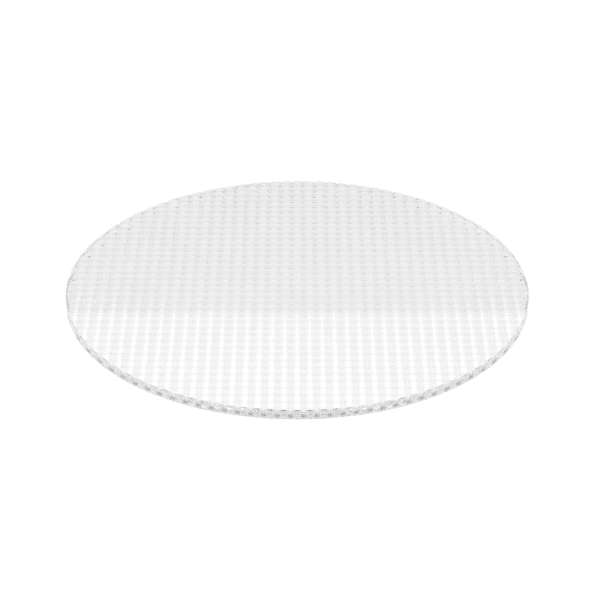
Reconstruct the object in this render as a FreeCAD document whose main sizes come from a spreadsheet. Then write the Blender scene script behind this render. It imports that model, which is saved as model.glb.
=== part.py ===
"""Light spreading lens: one round disc of clear glass, cut from a ribbed sheet.

The disc lies on the XY plane. Its main ribs run along Y on the top face. A second, much shallower
set runs along X on the underside, so the two sets cross at a right angle. Each set is a row of
circular arcs that meet in sharp valleys, with a crest over the middle of the disc. The origin is
the middle of the underside, at the height of its lowest crests. Millimetres, +Z up.
"""
import FreeCAD, Part
import os

import Sketcher
from FreeCAD import Placement, Rotation, Vector

doc = FreeCAD.newDocument("SpreadingLens")

# Driving dimensions, then the values that follow from them

DRIVING = {
    "lens_diameter": 121,
    "rib_pitch": 3.175,
    "rib_rise": 0.4,
    "cross_rib_pitch": 3.175,
    "cross_rib_rise": 0.05,
    "web_thickness": 2.25,
    "edge_bevel": 0.15,
}
DERIVED = {
    # Ribs beside the middle one, as many as it takes to cover the disc
    "side_ribs": "=ceil(lens_diameter / rib_pitch / 2 - 0.5)",
    "side_cross_ribs": "=ceil(lens_diameter / cross_rib_pitch / 2 - 0.5)",
    "rib_count": "=2 * side_ribs + 1",
    "cross_rib_count": "=2 * side_cross_ribs + 1",
    "sheet_width": "=rib_count * rib_pitch",
    "sheet_depth": "=cross_rib_count * cross_rib_pitch",
    "web_top": "=cross_rib_rise + web_thickness",
    "crest_height": "=web_top + rib_rise",
    # How far a rib's body reaches into the web that carries it
    "root_depth": "=web_thickness / 3",
}
sheet = doc.addObject("Spreadsheet::Sheet", "Sizes")
for row, (alias, content) in enumerate((DRIVING | DERIVED).items(), start=1):
    sheet.set(f"A{row}", alias)
    sheet.set(f"B{row}", str(content))
    sheet.setAlias(f"B{row}", alias)
doc.recompute()

# What constraints call a sketch's own points and axes

START, END, CENTRE = range(1, 4)
HORIZONTAL_AXIS, VERTICAL_AXIS = range(-1, -3, -1)
SKETCH_ORIGIN = (-1, 1)


def origin_feature(body, role):
    """One of the body's own origin planes or axes."""
    return next(feature for feature in body.Origin.OriginFeatures if feature.Role == role)


def new_sketch(body, name, role):
    """An empty sketch on one of the body's origin planes."""
    sketch = body.newObject("Sketcher::SketchObject", name)
    sketch.AttachmentSupport = [(origin_feature(body, role), "")]
    sketch.MapMode = "FlatFace"
    return sketch


def line_loop(sketch, corners):
    """Straight edges from corner to corner, joined round to the first one."""
    ends = corners[1:] + corners[:1]
    edges = [sketch.addGeometry(Part.LineSegment(a, b)) for a, b in zip(corners, ends)]
    join_loop(sketch, edges)
    return edges


def join_loop(sketch, edges):
    """Ties each edge's end to the start of the next, and the last one's to the first."""
    for edge, following in zip(edges, edges[1:] + edges[:1]):
        sketch.addConstraint(Sketcher.Constraint("Coincident", edge, END, following, START))


def relate(sketch, kind, *points):
    """A constraint with no value, such as Horizontal."""
    sketch.addConstraint(Sketcher.Constraint(kind, *points))


def measure(sketch, kind, name, size, *points):
    """A constraint whose value is bound to a size of the sheet."""
    index = sketch.addConstraint(Sketcher.Constraint(kind, *points, 1.0))
    sketch.renameConstraint(index, name)
    sketch.setExpression(f"Constraints.{name}", size)


def add_web(body):
    """The plain sheet between the two sets of ribs, before the disc is cut out of it."""
    outline = new_sketch(body, "SheetOutline", "XY_Plane")
    outline.setExpression("AttachmentOffset.Base.z", "Sizes.cross_rib_rise")
    x, y = sheet.sheet_width / 2, sheet.sheet_depth / 2
    front, right, back, left = line_loop(
        outline, [Vector(-x, -y), Vector(x, -y), Vector(x, y), Vector(-x, y)]
    )
    relate(outline, "Horizontal", front)
    relate(outline, "Vertical", right)
    relate(outline, "Horizontal", back)
    relate(outline, "Vertical", left)
    relate(outline, "Symmetric", front, START, right, END, *SKETCH_ORIGIN)
    measure(outline, "DistanceX", "width", "Sizes.sheet_width", front, START, front, END)
    measure(outline, "DistanceY", "depth", "Sizes.sheet_depth", right, START, right, END)
    web = body.newObject("PartDesign::Pad", "Web")
    web.Profile = outline
    web.setExpression("Length", "Sizes.web_thickness")
    doc.recompute()


def add_ribs(body, name, across, along, face, downward, prefix, length):
    """One set of ribs: a single rib drawn at the sheet's edge, then repeated across it.

    The sketch's horizontal axis lies in the face of the web. A rib is a circular arc whose feet
    stand on that axis one pitch apart, closed by a root that reaches into the web. Its radius
    follows from the rise and half the pitch.
    """
    pitch, rise, root = f"Sizes.{prefix}_pitch", f"Sizes.{prefix}_rise", "Sizes.root_depth"
    side_count, count = f"Sizes.side_{prefix}s", f"Sizes.{prefix}_count"
    profile = new_sketch(body, f"{name}Profile", across)
    half_turn = Rotation(Vector(0, 0, 1), 180 if downward else 0)
    profile.AttachmentOffset = Placement(Vector(), half_turn)
    profile.setExpression("AttachmentOffset.Base.x", f"-{side_count} * {pitch}")
    profile.setExpression("AttachmentOffset.Base.y", face)
    half, depth = sheet.get(f"{prefix}_pitch") / 2, sheet.root_depth
    left_foot, right_foot = Vector(-half, 0), Vector(half, 0)
    left_root, right_root = Vector(-half, -depth), Vector(half, -depth)
    crest = Vector(0, sheet.get(f"{prefix}_rise"))
    arc = profile.addGeometry(Part.Arc(right_foot, crest, left_foot))
    left_side = profile.addGeometry(Part.LineSegment(left_foot, left_root))
    base = profile.addGeometry(Part.LineSegment(left_root, right_root))
    right_side = profile.addGeometry(Part.LineSegment(right_root, right_foot))
    join_loop(profile, [arc, left_side, base, right_side])
    relate(profile, "PointOnObject", arc, START, HORIZONTAL_AXIS)
    relate(profile, "PointOnObject", arc, END, HORIZONTAL_AXIS)
    relate(profile, "PointOnObject", arc, CENTRE, VERTICAL_AXIS)
    relate(profile, "Vertical", left_side)
    relate(profile, "Horizontal", base)
    relate(profile, "Vertical", right_side)
    measure(profile, "DistanceX", "pitch", pitch, arc, END, arc, START)
    measure(profile, "DistanceY", "root", root, left_side, END, left_side, START)
    measure(profile, "Radius", "radius", f"({rise} ^ 2 + ({pitch} / 2) ^ 2) / (2 * {rise})", arc)
    rib = body.newObject("PartDesign::Pad", name)
    rib.Profile = profile
    rib.SideType = "Symmetric"
    rib.setExpression("Length", length)
    doc.recompute()
    row = body.newObject("PartDesign::LinearPattern", f"{name}Row")
    row.Originals = [rib]
    row.Direction = (origin_feature(body, along), [""])
    row.Mode = "Spacing"
    row.setExpression("Offset", pitch)
    row.setExpression("Occurrences", count)
    body.Tip = row
    doc.recompute()


def cut_disc(body):
    """Everything outside the round wall and its two small bevels is turned away."""
    outside = new_sketch(body, "WallProfile", "XZ_Plane")
    radius, bevel = sheet.lens_diameter / 2, sheet.edge_bevel
    top, past = sheet.crest_height, sheet.lens_diameter
    wall_foot, wall_head = Vector(radius, bevel), Vector(radius, top - bevel)
    above, below = Vector(radius - 2 * bevel, top + bevel), Vector(radius - 2 * bevel, -bevel)
    edges = line_loop(
        outside, [wall_foot, wall_head, above, Vector(past, top + bevel), Vector(past, -bevel), below]
    )
    wall, head_bevel, over, far_side, under, foot_bevel = edges
    relate(outside, "Vertical", wall)
    relate(outside, "Horizontal", over)
    relate(outside, "Vertical", far_side)
    relate(outside, "Horizontal", under)
    bevel_size, bevel_height = "2 * Sizes.edge_bevel", "Sizes.crest_height - Sizes.edge_bevel"
    measure(outside, "DistanceX", "radius", "Sizes.lens_diameter / 2", *SKETCH_ORIGIN, wall, START)
    measure(outside, "DistanceY", "foot", "Sizes.edge_bevel", *SKETCH_ORIGIN, wall, START)
    measure(outside, "DistanceY", "head", bevel_height, *SKETCH_ORIGIN, wall, END)
    measure(outside, "DistanceX", "head_bevel", bevel_size, head_bevel, END, head_bevel, START)
    measure(outside, "DistanceY", "head_rise", bevel_size, head_bevel, START, head_bevel, END)
    measure(outside, "DistanceX", "foot_bevel", bevel_size, foot_bevel, START, foot_bevel, END)
    measure(outside, "DistanceY", "foot_rise", bevel_size, foot_bevel, START, foot_bevel, END)
    measure(outside, "DistanceX", "past", "Sizes.lens_diameter", *SKETCH_ORIGIN, far_side, START)
    sheet_volume = body.Shape.Volume
    cut = body.newObject("PartDesign::Groove", "RoundCut")
    cut.Profile = outside
    cut.ReferenceAxis = (outside, ["V_Axis"])
    cut.Angle = 360
    body.Tip = cut
    doc.recompute()
    return sheet_volume - body.Shape.Volume


lens = doc.addObject("PartDesign::Body", "Lens")
lens.Label = "lens"
add_web(lens)
add_ribs(lens, "Rib", "XZ_Plane", "X_Axis", "Sizes.web_top", False, "rib", "Sizes.sheet_depth")
add_ribs(
    lens, "CrossRib", "YZ_Plane", "Y_Axis", "Sizes.cross_rib_rise", True, "cross_rib", "Sizes.sheet_width"
)
removed = cut_disc(lens)
lens.Placement = Placement()
doc.recompute()

# Nothing is written unless every object is sound and the disc is one whole solid

for thing in doc.Objects:
    if {"Invalid", "Error"} & set(thing.State):
        raise RuntimeError(f"{thing.Name} failed: {thing.State}")
shape = lens.Shape
if shape.isNull() or not shape.isValid() or len(shape.Solids) != 1:
    raise RuntimeError("the lens is not one valid solid")
if removed <= 0:
    raise RuntimeError("the round cut took nothing away")
box = shape.BoundBox
print(f"ribs {sheet.rib_count}, cross ribs {sheet.cross_rib_count}, cut away {removed:.0f} mm3")
print(f"lens {box.XLength:.3f} x {box.YLength:.3f} x {box.ZLength:.3f} mm, {shape.Volume:.1f} mm3")
print(f"{len(shape.Faces)} faces, underside at {box.ZMin:.4f}, crests at {box.ZMax:.4f}")
os.makedirs("parts", exist_ok=True)
shape.exportStep(f"parts/{lens.Label}.step")
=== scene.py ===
# %% [markdown]
# # Light spreading lens
#
# The object is one round disc of clear glass, 121 mm across and 2.7 mm thick. Its top is covered
# with rounded ribs that all run the same way, and its underside carries a much shallower set that
# crosses them at a right angle. In front of a lamp, the ribs bend the beam sideways and spread it
# into an oval.
#
# Clear glass has no colour of its own to paint, so nearly everything the eye sees in it is bent or
# mirrored surroundings. This lesson therefore spends its care on three things: the exact curve of
# each rib, the way it meets the round edge, and the light round the disc.

import bpy
import numpy as np
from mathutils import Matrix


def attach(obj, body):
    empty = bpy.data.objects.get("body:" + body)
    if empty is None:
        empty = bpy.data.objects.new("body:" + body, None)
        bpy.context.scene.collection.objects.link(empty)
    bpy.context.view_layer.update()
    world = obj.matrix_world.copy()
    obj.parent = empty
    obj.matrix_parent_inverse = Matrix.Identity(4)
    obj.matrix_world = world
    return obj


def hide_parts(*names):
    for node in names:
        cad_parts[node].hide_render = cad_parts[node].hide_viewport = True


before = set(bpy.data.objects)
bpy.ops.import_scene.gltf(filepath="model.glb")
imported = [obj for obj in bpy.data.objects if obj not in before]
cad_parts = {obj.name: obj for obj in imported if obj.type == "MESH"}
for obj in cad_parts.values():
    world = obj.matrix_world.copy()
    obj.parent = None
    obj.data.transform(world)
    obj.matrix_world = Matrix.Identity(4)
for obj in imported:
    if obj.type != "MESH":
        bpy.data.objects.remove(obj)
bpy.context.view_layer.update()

MM = 0.001


# %% [markdown]
# ## The camera
#
# The photograph looks down on the disc at about 30 degrees, with the ribs running straight away
# from the lens of the camera. The near rim is a little wider between ribs than the far one, which
# gives the distance: about 0.6 m, with a long lens. A new camera looks down its own -Z axis, so
# turning it about X by 90 degrees less the angle of view aims it along +Y and down.

# %% The camera
VIEW_ANGLE = np.radians(29.936)
FOCAL_LENGTH, SENSOR_WIDTH = 138.0, 36.0
CAMERA_PLACE = np.array([0.72, -524.56, 300.44]) * MM
NEAREST_SEEN = 10 * MM

camera_data = bpy.data.cameras.new("camera")
camera_data.lens = FOCAL_LENGTH
camera_data.sensor_width = SENSOR_WIDTH
camera_data.clip_start = NEAREST_SEEN
camera = bpy.data.objects.new("camera", camera_data)
camera.location = CAMERA_PLACE
camera.rotation_euler = (np.pi / 2 - VIEW_ANGLE, 0.0, 0.0)
bpy.context.scene.collection.objects.link(camera)
bpy.context.scene.camera = camera
print("camera", round(camera.location.length, 3), "m from the middle of the disc")

# %% [markdown]
# ## The sizes of the glass
#
# All lengths are in millimetres until the mesh is made. A rib is an arc of a circle that stands on
# two feet one pitch apart. The wider the pitch and the lower the arc, the larger the circle: its
# radius is the rise squared plus half the pitch squared, over twice the rise.

# %% Sizes
RADIUS = 60.5
PITCH = 3.175
RIB_RISE, CROSS_RISE = 0.4, 0.05
WEB = 2.25
BEVEL = 0.15
CREST = CROSS_RISE + WEB + RIB_RISE


def arc_radius(rise):
    """Radius of an arc one pitch wide: the rise and half the pitch, each squared, over 2 rises."""
    return (rise**2 + (PITCH / 2) ** 2) / (2 * rise)


print("thickness over the ribs", round(CREST, 3), "mm")
print("radius of a rib's arc", round(arc_radius(RIB_RISE), 2), "mm")
print("radius of a cross rib's arc", round(arc_radius(CROSS_RISE), 2), "mm")

# %% [markdown]
# ## The ribbed faces as functions
#
# A ribbed sheet could be modelled by extruding one arc and repeating it, but the round edge then
# has to be cut with a boolean, which leaves long thin faces. Here each face is a height that
# depends on one coordinate only: the top on x, the underside on y. A crest lies over the middle of
# the disc in both sets, as in the photograph.


# %% Height of the top and of the underside
def nearest_crest(t):
    """Where the crest closest to that place stands: crests stand at whole pitches."""
    return PITCH * np.round(t / PITCH)


def rib_height(t, rise):
    """Height of a row of arcs over their feet: the circle's height that far from the crest."""
    radius = arc_radius(rise)
    return np.sqrt(radius**2 - (t - nearest_crest(t)) ** 2) - (radius - rise)


def top_height(x):
    """The top face: the web's upper side plus the rib."""
    return CROSS_RISE + WEB + rib_height(x, RIB_RISE)


def under_height(y):
    """The underside: the web's lower side less the cross rib."""
    return CROSS_RISE - rib_height(y, CROSS_RISE)


print("a valley of the top stands", round(float(top_height(PITCH / 2)), 3), "mm up")

# %% [markdown]
# ## Where the ribs meet the edge
#
# The edge of the real lens is a ground cylinder, so every rib ends in a small arch there. For that
# outline to be crisp, the rim needs a point wherever a rib or a cross rib begins, ends or bends.
# Two more points stand close beside each valley, because a roller never presses a perfectly sharp
# groove: within that distance the surface turns softly from one arc to the next. The angles are
# worked out for one quarter of the circle and mirrored, which keeps the four quarters exactly
# alike, so that the faces close without a gap.

# %% Angles round one quarter of the rim
RIB_STEPS, CROSS_STEPS = 14, 8
RIB_SOFTNESS, CROSS_SOFTNESS = 0.1, 0.1
EVEN_STEPS = 160
LEAST_ANGLE = 1e-4


def columns(steps, softness):
    """Even steps across the ribs out to the rim, and one more on each side of every valley."""
    even = np.arange(0, RADIUS, PITCH / steps)
    valleys = np.arange(PITCH / 2, RADIUS - softness, PITCH)
    return np.concatenate([even, valleys - softness, valleys + softness])


at_ribs = np.arccos(columns(RIB_STEPS, RIB_SOFTNESS) / RADIUS)
at_cross_ribs = np.arcsin(columns(CROSS_STEPS, CROSS_SOFTNESS) / RADIUS)
evenly = np.linspace(0, np.pi / 2, EVEN_STEPS + 1)
quarter = np.unique(np.concatenate([at_ribs, at_cross_ribs, evenly]))
quarter = quarter[np.append(np.diff(quarter) > LEAST_ANGLE, True)]
quarter[0] = 0.0
print(len(quarter), "points in a quarter of the rim")

# %% [markdown]
# ## Four rings
#
# Four rings of points carry the edge: the rim of the underside, the foot and the head of the
# upright wall, and the rim of the top. Where the glass is thicker than the wall allows, a bevel of
# 45 degrees takes the corner off, so the rims of the two faces are drawn in by as much as they
# stand past the wall. That depends on the height at the drawn-in point itself, so it is settled by
# a few rounds of correction, each far smaller than the one before.

# %% The four rings
ROUNDS = 40
X, Y = range(2)


def drawn_in(excess, reach):
    """Radius of a face's rim: the full radius less how far the face stands past the wall there.

    The excess depends on one coordinate of the rim's point, which is the radius times the reach.
    """
    radius = np.full_like(quarter, RADIUS)
    for _ in range(ROUNDS):
        radius = RADIUS - np.clip(excess(radius * reach), 0, BEVEL)
    return radius


def quarter_ring(radius, along, height):
    """Points of one ring in the first quarter, as x, y and z columns, its ends on the axes."""
    place = radius * np.stack([np.cos(quarter), np.sin(quarter)])
    place[X, -1], place[Y, 0] = 0.0, 0.0
    return np.stack([*place, height(place[along])], axis=1)


wall = np.full_like(quarter, RADIUS)
top_radius = drawn_in(lambda x: top_height(x) - (CREST - BEVEL), np.cos(quarter))
under_radius = drawn_in(lambda y: BEVEL - under_height(y), np.sin(quarter))
rings = np.array(
    [
        quarter_ring(under_radius, Y, under_height),
        quarter_ring(wall, Y, lambda y: np.maximum(under_height(y), BEVEL)),
        quarter_ring(wall, X, lambda x: np.minimum(top_height(x), CREST - BEVEL)),
        quarter_ring(top_radius, X, top_height),
    ]
)
print("the rim of the top is drawn in by up to", round(RADIUS - top_radius.min(), 3), "mm")

# %% [markdown]
# ## All the way round
#
# The quarter is then mirrored into the other three, going round anticlockwise. The two points on
# the axes belong to two quarters, so they are taken once.


# %% Full rings
def all_round(ring):
    """The quarter ring and its three mirror images, as one closed loop without repeated points."""
    back, turned, front = ring[-2::-1], ring[1:], ring[-2:0:-1]
    return np.concatenate([ring, back * (-1, 1, 1), turned * (-1, -1, 1), front * (1, -1, 1)])


loops = np.array([all_round(ring) for ring in rings])
print(loops.shape[1], "points in each ring")

# %% [markdown]
# ## The skin of the disc
#
# The wall and its bevels are three strips between the rings. Each face is a sheet of straight rows
# that run from rim to rim along its ribs: the top from front to back, the underside from side to
# side. Every row ends in a point of the ring, so the faces and the wall share their edges.

# %% Strips and sheets
ROWS = 8


def strips(loops):
    """Faces of the edge: two neighbours on one ring and the same two on the next ring up."""
    count = loops.shape[1]
    index = np.arange(loops.shape[0] * count).reshape(loops.shape[0], count)
    following = np.roll(index, -1, axis=1)
    faces = np.stack([index[:-1], following[:-1], following[1:], index[1:]], axis=-1)
    return faces.reshape(-1, 4)


def sheet(ring, along, height):
    """A face as a grid: each column starts and ends on the rim, with points evenly between."""
    across = 1 - along
    place = np.concatenate([-ring[:, along], ring[-2::-1, along]])
    half = np.concatenate([ring[:, across], ring[-2::-1, across]])
    spread = np.linspace(-1, 1, ROWS + 1)
    points = np.empty((len(place), ROWS + 1, 3))
    points[..., along] = place[:, None]
    points[..., across] = half[:, None] * spread
    points[..., 2] = height(place)[:, None]
    index = np.arange(points[..., 0].size).reshape(points.shape[:2])
    faces = np.stack([index[:-1, :-1], index[1:, :-1], index[1:, 1:], index[:-1, 1:]], axis=-1)
    return points.reshape(-1, 3), faces.reshape(-1, 4)


edge_points, edge_faces = loops.reshape(-1, 3), strips(loops)
top_points, top_faces = sheet(rings[3], X, top_height)
under_points, under_faces = sheet(rings[0][::-1], Y, under_height)
print(len(edge_faces), "faces on the edge,", len(top_faces) + len(under_faces), "on the sheets")

# %% [markdown]
# ## One list of points and faces
#
# The three parts are written into one list of points and one of faces. Each face keeps a note of
# where it belongs, because the normals depend on that.

# %% One list
FOOT_BEVEL, UPRIGHT, HEAD_BEVEL, TOP, UNDER = range(5)

points = np.concatenate([edge_points, top_points, under_points])
top_start = len(edge_points)
under_start = top_start + len(top_points)
faces = np.concatenate([edge_faces, top_faces + top_start, under_faces + under_start])
part = np.concatenate(
    [
        np.repeat([FOOT_BEVEL, UPRIGHT, HEAD_BEVEL], loops.shape[1]),
        np.full(len(top_faces), TOP),
        np.full(len(under_faces), UNDER),
    ]
)
print(len(points), "points before joining")

# %% [markdown]
# ## Joining the pieces into one closed skin
#
# The sheets and the wall were made apart, so the points on the rims exist twice. Points that agree
# to a millionth of a millimetre become one. Some four-sided faces shrink in doing so, where a row
# has no width or a bevel no height: they become triangles, or vanish. What is left is counted: in
# a closed skin every edge belongs to exactly two faces.

# %% One closed skin
DECIMALS = 6

rounded = np.round(points, DECIMALS)
_, first, same = np.unique(rounded, axis=0, return_index=True, return_inverse=True)
points = points[first]
faces = same.reshape(-1)[faces]

a, b, c, d = faces.T
left_gone, right_gone = (a == d), (b == c)
whole = ~left_gone & ~right_gone & (a != b) & (c != d)
left_only, right_only = left_gone & ~right_gone, right_gone & ~left_gone
quads = faces[whole]
triangles = np.concatenate([faces[left_only][:, [0, 1, 2]], faces[right_only][:, [0, 1, 3]]])
part_of_face = np.concatenate([part[whole], part[left_only], part[right_only]])

edges = np.concatenate(
    [np.stack([f, np.roll(f, -1, axis=1)], axis=-1).reshape(-1, 2) for f in (quads, triangles)]
)
_, uses = np.unique(np.sort(edges, axis=1), axis=0, return_counts=True)
print(len(points), "points,", len(quads), "quads,", len(triangles), "triangles")
print("edges not shared by two faces:", int((uses != 2).sum()))

# %% [markdown]
# ## Into Blender
#
# Blender counts in metres, so every length is scaled by a thousandth here, once.

# %% The mesh in metres
lens_mesh = bpy.data.meshes.new("ribbed_lens")
lens_mesh.from_pydata(points * MM, [], quads.tolist() + triangles.tolist())
lens_mesh.update()
lens = bpy.data.objects.new("ribbed_lens", lens_mesh)
bpy.context.scene.collection.objects.link(lens)
print(len(lens_mesh.polygons), "faces in the mesh")

# %% [markdown]
# ## Normals straight from the formula
#
# Glass shows every flaw in its surface, because light is bent by the direction the surface faces,
# not by where it is. Smooth shading guesses that direction from neighbouring faces, and the uneven
# spacing of the columns would make it waver. The true direction is known, but it differs between
# the faces that meet in a point, so it is given to each corner of each face. For that, every
# corner first gets its own point, the middle of its face and the part its face belongs to.

# %% What each face corner belongs to
corner_point = np.empty(len(lens_mesh.loops), np.int32)
lens_mesh.loops.foreach_get("vertex_index", corner_point)
corner = points[corner_point]

sides = np.empty(len(lens_mesh.polygons), np.int32)
lens_mesh.polygons.foreach_get("loop_total", sides)
kind = np.repeat(part_of_face, sides)

middle = np.empty(len(lens_mesh.polygons) * 3, np.float32)
lens_mesh.polygons.foreach_get("center", middle)
middle = np.repeat(middle.reshape(-1, 3) / MM, sides, axis=0)
print(len(corner), "face corners")

# %% [markdown]
# On an arc the normal points away from the arc's centre, on the wall away from the axis, and on a
# bevel half-way between that and straight up or down. Close to a valley the sideways part fades
# out, so that the valley turns softly.


# %% Exact normals at every face corner
def arc_normal(along, rise, up, softness):
    """Away from the arc's centre: sideways by the distance from its own crest, upwards by the rest.

    Nearer to a valley than the softness, the distance is scaled down, to nothing at the valley.
    """
    radius = arc_radius(rise)
    aside = corner[:, along] - nearest_crest(middle[:, along])
    aside = aside * np.clip((PITCH / 2 - np.abs(aside)) / softness, 0, 1)
    normal = np.zeros_like(corner)
    normal[:, along] = aside / radius
    normal[:, 2] = up * np.sqrt(1 - (aside / radius) ** 2)
    return normal


def of_length_one(vectors):
    """Each row over its length. A row of nothing, at the disc's very middle, stays nothing."""
    length = np.linalg.norm(vectors, axis=1, keepdims=True)
    return vectors / np.where(length > 0, length, 1.0)


slant = np.select([kind == FOOT_BEVEL, kind == HEAD_BEVEL], [-1.0, 1.0], 0.0)
normals = of_length_one(np.column_stack([of_length_one(corner[:, :2]), slant]))
is_top, is_under = kind == TOP, kind == UNDER
normals[is_top] = arc_normal(X, RIB_RISE, 1, RIB_SOFTNESS)[is_top]
normals[is_under] = arc_normal(Y, CROSS_RISE, -1, CROSS_SOFTNESS)[is_under]
lens_mesh.shade_smooth()
lens_mesh.normals_split_custom_set(normals)
steepest = np.degrees(np.arccos(normals[is_top, 2].min()))
print("steepest slope of a rib", round(float(steepest), 1), "degrees")

# %% [markdown]
# ## Clear rolled glass
#
# Rolled glass is bright but not perfect. The rollers leave a waviness of a few thousandths of a
# millimetre and patches that are a hair less polished, and the melt keeps a trace of grey. All
# three could be modelled, but they are far smaller than the mesh, so they are left to the shader.

# %% The glass
GLASS_INDEX = 1.52

glass = bpy.data.materials.new("clear_rolled_glass")
glass.use_nodes = True
nodes, links = glass.node_tree.nodes, glass.node_tree.links
shader = nodes["Principled BSDF"]
shader.inputs["Transmission Weight"].default_value = 1.0
shader.inputs["IOR"].default_value = GLASS_INDEX
lens_mesh.materials.append(glass)
print("glass bends light with an index of", GLASS_INDEX)

# %% [markdown]
# ## Helpers for the shader
#
# The finish is a small sum made of nodes. Four helpers keep it readable: one adds a node with a
# label, one maps a value from one span to another, one does arithmetic, and one makes noise on
# Object coordinates, so that the pattern stays fixed to the glass.


# %% Helpers
def add_node(kind, label):
    """A node of that kind, labelled in plain words."""
    node = nodes.new(kind)
    node.label = label
    return node


def stretch(source, label, span, onto=(0.0, 1.0)):
    """Maps one span of values evenly onto another, and holds the ends outside it."""
    node = add_node("ShaderNodeMapRange", label)
    for name, number in zip(("From Min", "From Max", "To Min", "To Max"), span + onto):
        node.inputs[name].default_value = number
    links.new(source, node.inputs["Value"])
    return node.outputs["Result"]


def combine(kind, label, first, second=0.0):
    """Arithmetic on one value or two. The second may be a plain number."""
    node = add_node("ShaderNodeMath", label)
    node.operation = kind
    links.new(first, node.inputs[0])
    if isinstance(second, float):
        node.inputs[1].default_value = second
    else:
        links.new(second, node.inputs[1])
    return node.outputs["Value"]


def noise(label, scale, detail):
    """Soft noise on the disc. Its patches are about one over the scale across, in metres."""
    node = add_node("ShaderNodeTexNoise", label)
    node.inputs["Scale"].default_value = scale
    node.inputs["Detail"].default_value = detail
    links.new(place.outputs["Object"], node.inputs["Vector"])
    return node.outputs["Fac"]


place = add_node("ShaderNodeTexCoord", "place on the disc")
print(len(nodes), "nodes to begin with")

# %% [markdown]
# ## The ground edge
#
# The disc was cut from its sheet and the edge ground on a wheel. That leaves the wall duller than
# the faces, and the two bevels, which are only stroked by hand, duller still. A mask picks the edge
# out by the distance from the axis. It begins just inside the bevels.

# %% Mask for the edge
EDGE_BEGINS, EDGE_FULL = RADIUS - 0.2, RADIUS - 0.14

flat = add_node("ShaderNodeVectorMath", "x and y alone")
flat.operation = "MULTIPLY"
flat.inputs[1].default_value = (1.0, 1.0, 0.0)
links.new(place.outputs["Object"], flat.inputs[0])
from_axis = add_node("ShaderNodeVectorMath", "distance from the axis")
from_axis.operation = "LENGTH"
links.new(flat.outputs["Vector"], from_axis.inputs[0])
distance = from_axis.outputs["Value"]
on_edge = stretch(distance, "bevels and wall", (EDGE_BEGINS * MM, EDGE_FULL * MM))
print("the edge's mask begins", round(EDGE_BEGINS, 2), "mm from the axis")

# %% [markdown]
# Where a valley meets the wall the glass is thinnest, and there a row of dark beads of shade lies
# along the near edge. That shade is painted into the colour of the glass as painted shade, and the
# same spots are made a little rougher. Their mask is the edge's, times the closeness to a valley,
# times the height on the wall. A cosine with one turn per pitch is 1 at each crest and -1 in each
# valley, which tells them apart.

# %% Mask for the beads of painted shade
# The beads are painted shade: they darken the colour of the glass where the valleys meet the wall.
BEAD_FOOT, BEAD_HEAD, BEAD_FADE = 0.65 * MM, 1.5 * MM, 0.3 * MM
BEAD_SIDE, BEAD_MIDDLE = 0.2, -0.7
TURN_PER_METRE = 2 * np.pi / (PITCH * MM)

axes = add_node("ShaderNodeSeparateXYZ", "x, y and z")
links.new(place.outputs["Object"], axes.inputs["Vector"])
turn = combine("MULTIPLY", "one turn a pitch", axes.outputs["X"], TURN_PER_METRE)
crest_or_valley = combine("COSINE", "crest or valley", turn)
at_valley = stretch(crest_or_valley, "near a valley", (BEAD_SIDE, BEAD_MIDDLE))

foot_span = (BEAD_FOOT - BEAD_FADE, BEAD_FOOT + BEAD_FADE)
head_span = (BEAD_HEAD - BEAD_FADE, BEAD_HEAD + BEAD_FADE)
over_foot = stretch(axes.outputs["Z"], "over the bead's foot", foot_span)
under_head = stretch(axes.outputs["Z"], "under the bead's head", head_span, (1.0, 0.0))
bead_height = combine("MULTIPLY", "bead height", over_foot, under_head)
edge_at_valley = combine("MULTIPLY", "beads on the edge", on_edge, at_valley)
bead = combine("MULTIPLY", "beads", edge_at_valley, bead_height)
print("beads from", round(BEAD_FOOT / MM, 2), "to", round(BEAD_HEAD / MM, 2), "mm up the wall")

# %% [markdown]
# ## The grey and the painted shade
#
# The melt has a faint grey that varies a little from patch to patch. The ground edge shows none of
# it, and the beads are painted much darker, as painted shade.

# %% Grey and painted shade
# The brightness in the beads is painted shade, far darker than the melt's grey.
CLEAR, CLOUDY, PAINTED_SHADE_GREY = 0.965, 0.945, 0.35
MELT_SPAN = (0.3, 0.7)

patches = noise("cloudy patches", scale=60.0, detail=3.0)
in_body = stretch(patches, "grey of the melt", MELT_SPAN, (CLEAR, CLOUDY))
melt = combine("MAXIMUM", "no grey on the edge", in_body, on_edge)
# Painted shade: the beads take light out of the colour of the glass.
lost = combine("MULTIPLY", "light lost in a bead", bead, 1.0 - PAINTED_SHADE_GREY)
grey = combine("SUBTRACT", "grey", melt, lost)
links.new(grey, shader.inputs["Base Color"])
print("brightness of the grey:", CLOUDY, "to", CLEAR, "and", PAINTED_SHADE_GREY, "in a bead")

# %% [markdown]
# ## The roughness
#
# It is the sum of the cloudy patches on the faces, the dull edge and the beads of painted shade,
# which are made rougher as well. The edge is unevenly dull, as the wheel leaves it, and the bevels
# are duller than the wall: the last few hundredths of a millimetre before the full radius lead from
# one to the other.

# %% Roughness
FACE_ROUGH, WALL_ROUGH, BEVEL_ROUGH, BEAD_ROUGH = 0.02, 0.06, 0.45, 0.3
CLOUD_SPAN, MARK_SPAN = (0.4, 0.75), (0.35, 0.65)
LEAST_GROUND, MOST_GROUND = 0.4, 1.6
BEVEL_ENDS, WALL_BEGINS = RADIUS - 0.03, RADIUS - 0.005

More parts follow.
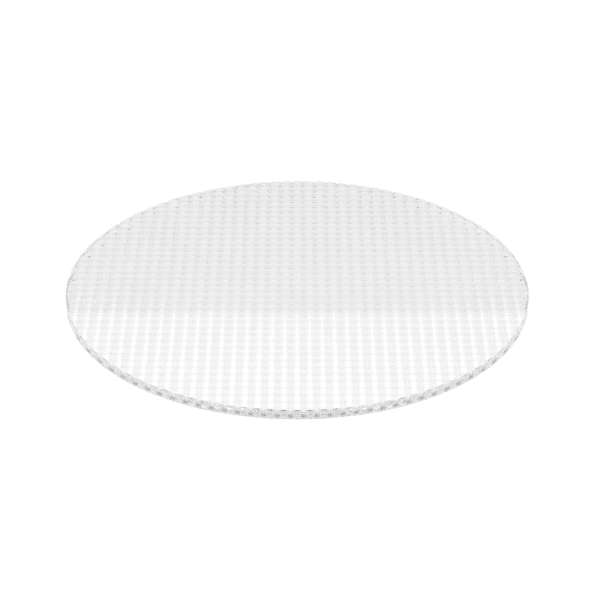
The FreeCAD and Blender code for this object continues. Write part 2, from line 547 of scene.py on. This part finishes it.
face_rough = stretch(patches, "roughness of the faces", CLOUD_SPAN, (0.0, FACE_ROUGH))
marks = noise("marks of the wheel", scale=1500.0, detail=2.0)
uneven = stretch(marks, "uneven grinding", MARK_SPAN, (LEAST_GROUND, MOST_GROUND))
wall_span = (BEVEL_ENDS * MM, WALL_BEGINS * MM)
dull = stretch(distance, "from bevel to wall", wall_span, (BEVEL_ROUGH, WALL_ROUGH))
ground = combine("MULTIPLY", "unevenly ground", dull, uneven)
edge_rough = combine("MULTIPLY", "roughness of the edge", on_edge, ground)
bead_rough = combine("MULTIPLY", "roughness of the beads", bead, BEAD_ROUGH)
rough = combine("ADD", "faces and edge", face_rough, edge_rough)
links.new(combine("ADD", "roughness", rough, bead_rough), shader.inputs["Roughness"])
print("roughness: faces up to", FACE_ROUGH, "wall", WALL_ROUGH, "bevels", BEVEL_ROUGH)

# %% [markdown]
# ## The waves of the rollers
#
# A bump a few thousandths of a millimetre high tilts the normals by a trace, which makes the ribs'
# reflections waver.

# %% Bump
WAVE_HEIGHT = 0.006 * MM

waves = noise("waves of the rollers", scale=250.0, detail=1.0)
bump = add_node("ShaderNodeBump", "waviness")
bump.inputs["Strength"].default_value = 1.0
bump.inputs["Distance"].default_value = WAVE_HEIGHT
links.new(waves, bump.inputs["Height"])
links.new(bump.outputs["Normal"], shader.inputs["Normal"])
print(len(nodes), "nodes in the glass")

# %% [markdown]
# ## A white table, overexposed
#
# The photograph has a pure white ground with no shadow. Beside the disc it is too bright for the
# picture to hold any tone, but the glass takes a sixth of the light away, and through it a straight
# border shows: the front of the table is a little brighter than the back. The floor is a large
# plain sheet that glows, with two strengths that meet on one line. Both are white or more, so the
# border shows through the disc alone. Glowing instead of being lit keeps it even under the glass.

# %% The floor
FLOOR_HALF = 4.0

near, far = -FLOOR_HALF, FLOOR_HALF
floor_corners = [(near, near, 0.0), (far, near, 0.0), (far, far, 0.0), (near, far, 0.0)]
floor_mesh = bpy.data.meshes.new("floor")
floor_mesh.from_pydata(floor_corners, [], [(0, 1, 2, 3)])
floor = bpy.data.objects.new("floor", floor_mesh)
bpy.context.scene.collection.objects.link(floor)
print("the floor is", 2 * FLOOR_HALF, "m wide")

# %% [markdown]
# The table's material mirrors and scatters nothing of its own. All its light is emission, and a
# map from y to strength puts the border a little in front of the disc's middle.

# %% Its two tones
BLACK, WHITE = (0.0, 0.0, 0.0, 1.0), (1.0, 1.0, 1.0, 1.0)
BORDER, BORDER_BLUR = -12.4 * MM, 0.05 * MM
FRONT_GLOW, BACK_GLOW = 1.08, 1.0

table = bpy.data.materials.new("bright_white_table")
table.use_nodes = True
table_nodes, table_links = table.node_tree.nodes, table.node_tree.links
table_shader = table_nodes["Principled BSDF"]
table_shader.inputs["Base Color"].default_value = BLACK
table_shader.inputs["Roughness"].default_value = 1.0
table_shader.inputs["Specular IOR Level"].default_value = 0.0
table_shader.inputs["Emission Color"].default_value = WHITE

table_place = table_nodes.new("ShaderNodeTexCoord")
table_axes = table_nodes.new("ShaderNodeSeparateXYZ")
glow = table_nodes.new("ShaderNodeMapRange")
glow.inputs["From Min"].default_value = BORDER - BORDER_BLUR
glow.inputs["From Max"].default_value = BORDER + BORDER_BLUR
glow.inputs["To Min"].default_value = FRONT_GLOW
glow.inputs["To Max"].default_value = BACK_GLOW
table_links.new(table_place.outputs["Object"], table_axes.inputs["Vector"])
table_links.new(table_axes.outputs["Y"], glow.inputs["Value"])
table_links.new(glow.outputs["Result"], table_shader.inputs["Emission Strength"])
floor_mesh.materials.append(table)
print("the table glows at", FRONT_GLOW, "in front and", BACK_GLOW, "behind")

# %% [markdown]
# ## The light round the disc
#
# Over an even white room the ribs would hardly show, because what a slope mirrors would be as
# bright as what it lets through. A photographer of glass therefore keeps part of the room dark.
# Here the world is a soft room made of rings that depend on height alone, so that the disc is lit
# alike from all sides. A dark ring lies just under the height that the crests mirror, with a bright
# strip over it, and that step draws the ribs in the main picture. Higher up a bright ring and a dim
# zenith do the same for someone who looks straight down.
#
# Each ring is given by its upper end, in degrees over the horizon, and its brightness. A colour
# ramp over the height's sine holds them, with two stops for each ring.

# %% The rings of light
RINGS = [
    (8.0, 1.2),
    (14.0, 0.5),
    (24.0, 0.16),
    (30.2, 0.28),
    (33.0, 1.05),
    (42.0, 0.4),
    (60.0, 1.2),
    (90.0, 0.15),
]
SEAM = 0.0005


def ring_stops(rings):
    """Two stops for each ring, a seam inside its lower and its upper end."""
    ends = np.sin(np.radians([degrees for degrees, _ in rings]))
    starts = np.concatenate([[0.0], ends[:-1]]) + SEAM
    spans = zip(starts, ends - SEAM, rings)
    return [(where, value) for begin, end, (_, value) in spans for where in (begin, end)]


stops = ring_stops(RINGS)
print(len(RINGS), "rings of light,", len(stops), "stops")

# %% [markdown]
# In a world, the Generated coordinate is the direction a ray leaves in, and its z is the sine of
# the height.

# %% The room
world = bpy.data.worlds.new("soft_room")
bpy.context.scene.world = world
world.use_nodes = True
room_nodes, room_links = world.node_tree.nodes, world.node_tree.links
direction = room_nodes.new("ShaderNodeTexCoord")
room_axes = room_nodes.new("ShaderNodeSeparateXYZ")
tones = room_nodes.new("ShaderNodeValToRGB")
room_links.new(direction.outputs["Generated"], room_axes.inputs["Vector"])
room_links.new(room_axes.outputs["Z"], tones.inputs["Fac"])
room_links.new(tones.outputs["Color"], room_nodes["Background"].inputs["Color"])

ramp = tones.color_ramp
ramp.elements.remove(ramp.elements[-1])
for number, (where, value) in enumerate(stops):
    stop = ramp.elements.new(where) if number else ramp.elements[0]
    stop.position = where
    stop.color = (value, value, value, 1.0)
print(len(ramp.elements), "stops on the ramp, up to", round(ramp.elements[-1].position, 4))

# %% [markdown]
# ## Enough bounces for glass
#
# A ray inside a ribbed disc can be mirrored dozens of times before it leaves. With the usual limit
# of twelve it is given up half-way and turns black, which shows as a dark edge. The limit is raised
# so that rays can finish. The plain Standard view keeps white white.

# %% Bounces and the view
BOUNCES = 48

cycles = bpy.context.scene.cycles
cycles.max_bounces = BOUNCES
cycles.transmission_bounces = BOUNCES
cycles.glossy_bounces = BOUNCES
bpy.context.scene.view_settings.view_transform = "Standard"
print("a ray may turn", BOUNCES, "times")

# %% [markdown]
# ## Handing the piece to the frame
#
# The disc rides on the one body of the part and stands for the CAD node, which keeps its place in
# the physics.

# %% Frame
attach(lens, "root")
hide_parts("lens")
